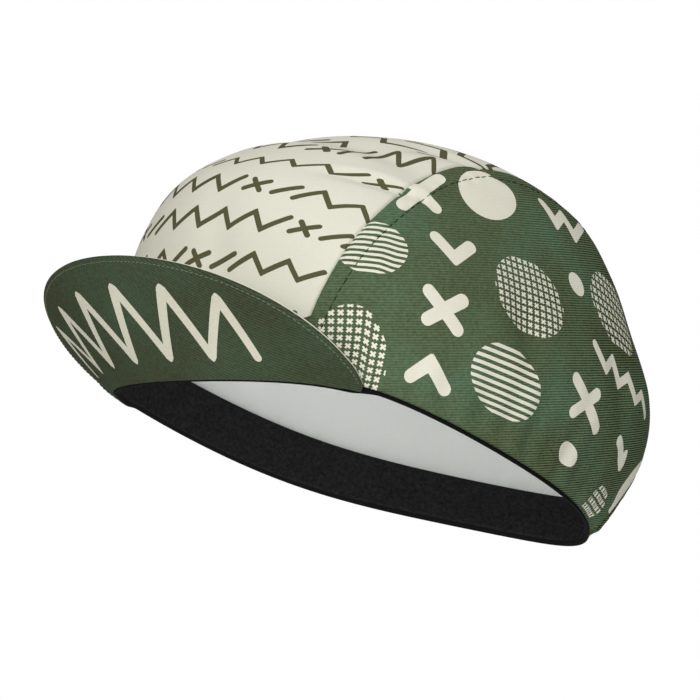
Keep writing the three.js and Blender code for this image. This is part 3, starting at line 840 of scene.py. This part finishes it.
elastic = bpy.data.materials.new("black brushed elastic")
elastic.use_nodes = True
tree = elastic.node_tree
shader = tree.nodes["Principled BSDF"]
where = add(tree, "ShaderNodeTexCoord").outputs["Object"]
fuzz = add(tree, "ShaderNodeTexNoise", inputs={"Vector": where, "Scale": 700.0, "Detail": 4.0, "Roughness": 0.7})
lint = add(tree, "ShaderNodeTexVoronoi", inputs={"Vector": where, "Scale": 420.0})
speck = add(tree, "ShaderNodeMapRange", inputs={
    "Value": lint.outputs["Distance"], "From Min": 0.07, "From Max": 0.02, "To Min": 0.0, "To Max": 0.35})
tone = add(tree, "ShaderNodeMapRange", inputs={
    "Value": fuzz.outputs["Fac"], "From Min": 0.3, "From Max": 0.7, "To Min": 0.45, "To Max": 1.6})
black = add(tree, "ShaderNodeVectorMath", {"operation": "SCALE"}, {0: linear(BAND_BLACK)[:3], "Scale": tone.outputs[0]})
paint = add(tree, "ShaderNodeMix", {"data_type": "RGBA"}, {
    "Factor": speck.outputs[0], "A": black.outputs[0], "B": linear(LINT_GREY)})
tree.links.new(next(o for o in paint.outputs if o.type == "RGBA"), shader.inputs["Base Color"])
bump = add(tree, "ShaderNodeBump", inputs={"Height": fuzz.outputs["Fac"], "Strength": 0.5, "Distance": 0.0004})
tree.links.new(bump.outputs[0], shader.inputs["Normal"])
shader.inputs["Roughness"].default_value = 0.9
shader.inputs["Specular IOR Level"].default_value = 0.08
band_mesh.materials.append(elastic)
band_mesh.materials.append(yarn("black elastic edging", LIP_BLACK))
band_mesh.polygons.foreach_set("material_index", [int(n % count < BAND_LIP_ROWS) for n in range(len(faces))])
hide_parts("elastic_sweatband")
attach(sweatband, "root")

# Peak: two printed covers over a thin stiffener, sewn to the rim and flipped up against the crown.
# The underside that shows is green twill with a cream zigzag, the upper side cream with olive rows.
PEAK_DEPTH = 47
UNDER_FACES, TOP_FACES = (0.0, 1.0), (2.3, 1.1)  # the printed and the plain one, above the underside
UNDER_EDGE, TOP_EDGE = 0.35, -0.1  # how far each cover's outer edge stands out
EDGE_REACH = 1.2
EDGE_ROLL, EDGE_ROLL_REACH = 0.45, 0.8
PEAK_RISE_MIDDLE, PEAK_RISE_END = math.radians(37), math.radians(22)
PEAK_BELOW, PEAK_BEFORE = 0.6, 0.1  # where its root lies from the rim
PEAK_INSET = 1.15  # how far under the cloth its root is sewn in
PEAK_RUN_OUT = 0.06  # it comes out from there over this share of its half span
PEAK_CUT = 0.985  # the covers end at this share of it
PEAK_ALONG, PEAK_FALL = 2, 0.88
PEAK_SCALE = 92  # flat mm for each radian round the rim
TWILL_GREEN, TWILL_COOLER = "#3f4531", "#394633"
TWILL_PRINT = "#c9c6b4"
TWILL_PITCH = 1.1  # mm
TWILL_WAY = (0.707, -0.566, 0.424)  # across the twill's diagonals
ZIGZAG_CORNERS = np.linspace(-55, 45, 13)
ZIGZAG_FOOT, ZIGZAG_TOP, ZIGZAG_SAG, ZIGZAG_STROKE = 9, 36, 0.0035, 3
PEAK_ROWS = ((12, 10), (27, -30))  # from the root, and where the cross sits
PEAK_ROW_HALF = 84
PEAK_STITCH = {"Pitch": 1.8, "Stitch length": 1.4, "Thread width": 0.28}
PEAK_STITCH_INSET, PEAK_STITCH_SUNK, PEAK_STITCH_SHARE = 1.3, 0.02, 0.97
THREAD_GREY = "#737a68"


def peak_depth(turn):
    """How far the peak runs out from its root, in mm."""
    return PEAK_DEPTH * np.maximum(1 - (np.abs(turn) / PEAK_HALF_SPAN) ** PEAK_ALONG, 0) ** PEAK_FALL


def peak_rise(turn):
    """How steeply the peak stands up, in radians."""
    return PEAK_RISE_MIDDLE + (PEAK_RISE_END - PEAK_RISE_MIDDLE) * (turn / PEAK_HALF_SPAN) ** 2


def peak_point(turn, run, height):
    """A point run mm out from the peak's root and height mm above its underside."""
    rise = peak_rise(turn)
    root = crown_base(turn, np.zeros_like(turn))
    ahead = crown_base(turn + 1e-3, np.zeros_like(turn)) - crown_base(turn - 1e-3, np.zeros_like(turn))
    outward = unit(np.stack([ahead[:, 1], -ahead[:, 0], np.zeros(len(turn))], -1))
    run = np.maximum(run, height * np.tan(rise))
    inset = PEAK_INSET * (1 - smooth((np.abs(turn) / PEAK_HALF_SPAN - PEAK_END + PEAK_RUN_OUT) / PEAK_RUN_OUT))
    out = PEAK_BEFORE - inset + np.cos(rise) * run - np.sin(rise) * height
    up = -BAND_SHOWS - PEAK_BELOW + np.sin(rise) * run + np.cos(rise) * height
    p = root + outward * out[:, None]
    p[:, 2] += up
    return p


end = PEAK_HALF_SPAN * PEAK_CUT
spread = end * np.sin(np.linspace(-1, 1, 161) * math.pi / 2)
outer_line = np.stack([spread * PEAK_SCALE, peak_depth(spread)], -1)
root_line = np.stack([np.linspace(end, -end, 121) * PEAK_SCALE, np.zeros(121)], -1)
peak_outline = np.concatenate([outer_line, root_line])


def peak_cloth(name, shapes, printed, plain, extra):
    """One cover between two heights above the underside, printed on one face, with its outer edge rolled."""
    def place(flat, outer):
        far = far_from(flat, outer_line)
        roll = EDGE_ROLL * np.exp(-(far / EDGE_ROLL_REACH) ** 2) * np.sign(plain - printed)
        height = (printed + roll) if outer else np.full(len(flat), plain)
        return peak_point(flat[:, 0] / PEAK_SCALE, flat[:, 1] + extra * np.exp(-(far / EDGE_REACH) ** 2), height)
    return printed_cloth(name, peak_outline, shapes, place, 1.6)


zigzag = [(x, ZIGZAG_TOP - ZIGZAG_SAG * x * x if n % 2 else ZIGZAG_FOOT) for n, x in enumerate(ZIGZAG_CORNERS)]
under_shapes = [finely(shape) for shape in stroke(zigzag, ZIGZAG_STROKE)]
twill = knitted_polyester("green twill", TWILL_GREEN, (0.25, 0.25), 0.9, TWILL_PITCH, TWILL_WAY, TWILL_COOLER)
twill_print = knitted_polyester("cream print on twill", TWILL_PRINT, (0.04, 0.04), 0.2, TWILL_PITCH, TWILL_WAY)
under_cover = peak_cloth("peak_under_cloth", under_shapes, *UNDER_FACES, UNDER_EDGE)
for material in (twill, twill_print, twill):
    under_cover.data.materials.append(material)
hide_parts("peak_under_cover")
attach(under_cover, "root")

top_shapes = [finely(shape + (0, y)) for y, cross in PEAK_ROWS for shape in row_shapes(cross)
              if abs(shape[:, 0]).max() < PEAK_ROW_HALF]
top_cover = peak_cloth("peak_top_cloth", top_shapes, *TOP_FACES, TOP_EDGE)
for material in (cream_ground, olive_print, cream_ground):
    top_cover.data.materials.append(material)
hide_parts("peak_top_cover")
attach(top_cover, "root")

# The covers are sewn together close to the outer edge with pale thread.
sewn = spread[np.abs(spread) < end * PEAK_STITCH_SHARE]
rise = peak_rise(sewn)
away = np.stack([np.sin(sewn) * np.sin(rise), -np.cos(sewn) * np.sin(rise), -np.cos(rise)], -1)
run = np.maximum(peak_depth(sewn) - PEAK_STITCH_INSET, 0)
thread_line = peak_point(sewn, run, np.full(len(sewn), PEAK_STITCH_SUNK))
pale_thread = yarn("pale grey sewing thread", THREAD_GREY)
sew("peak_edge_stitches", thread_line, away, PEAK_STITCH, pale_thread)
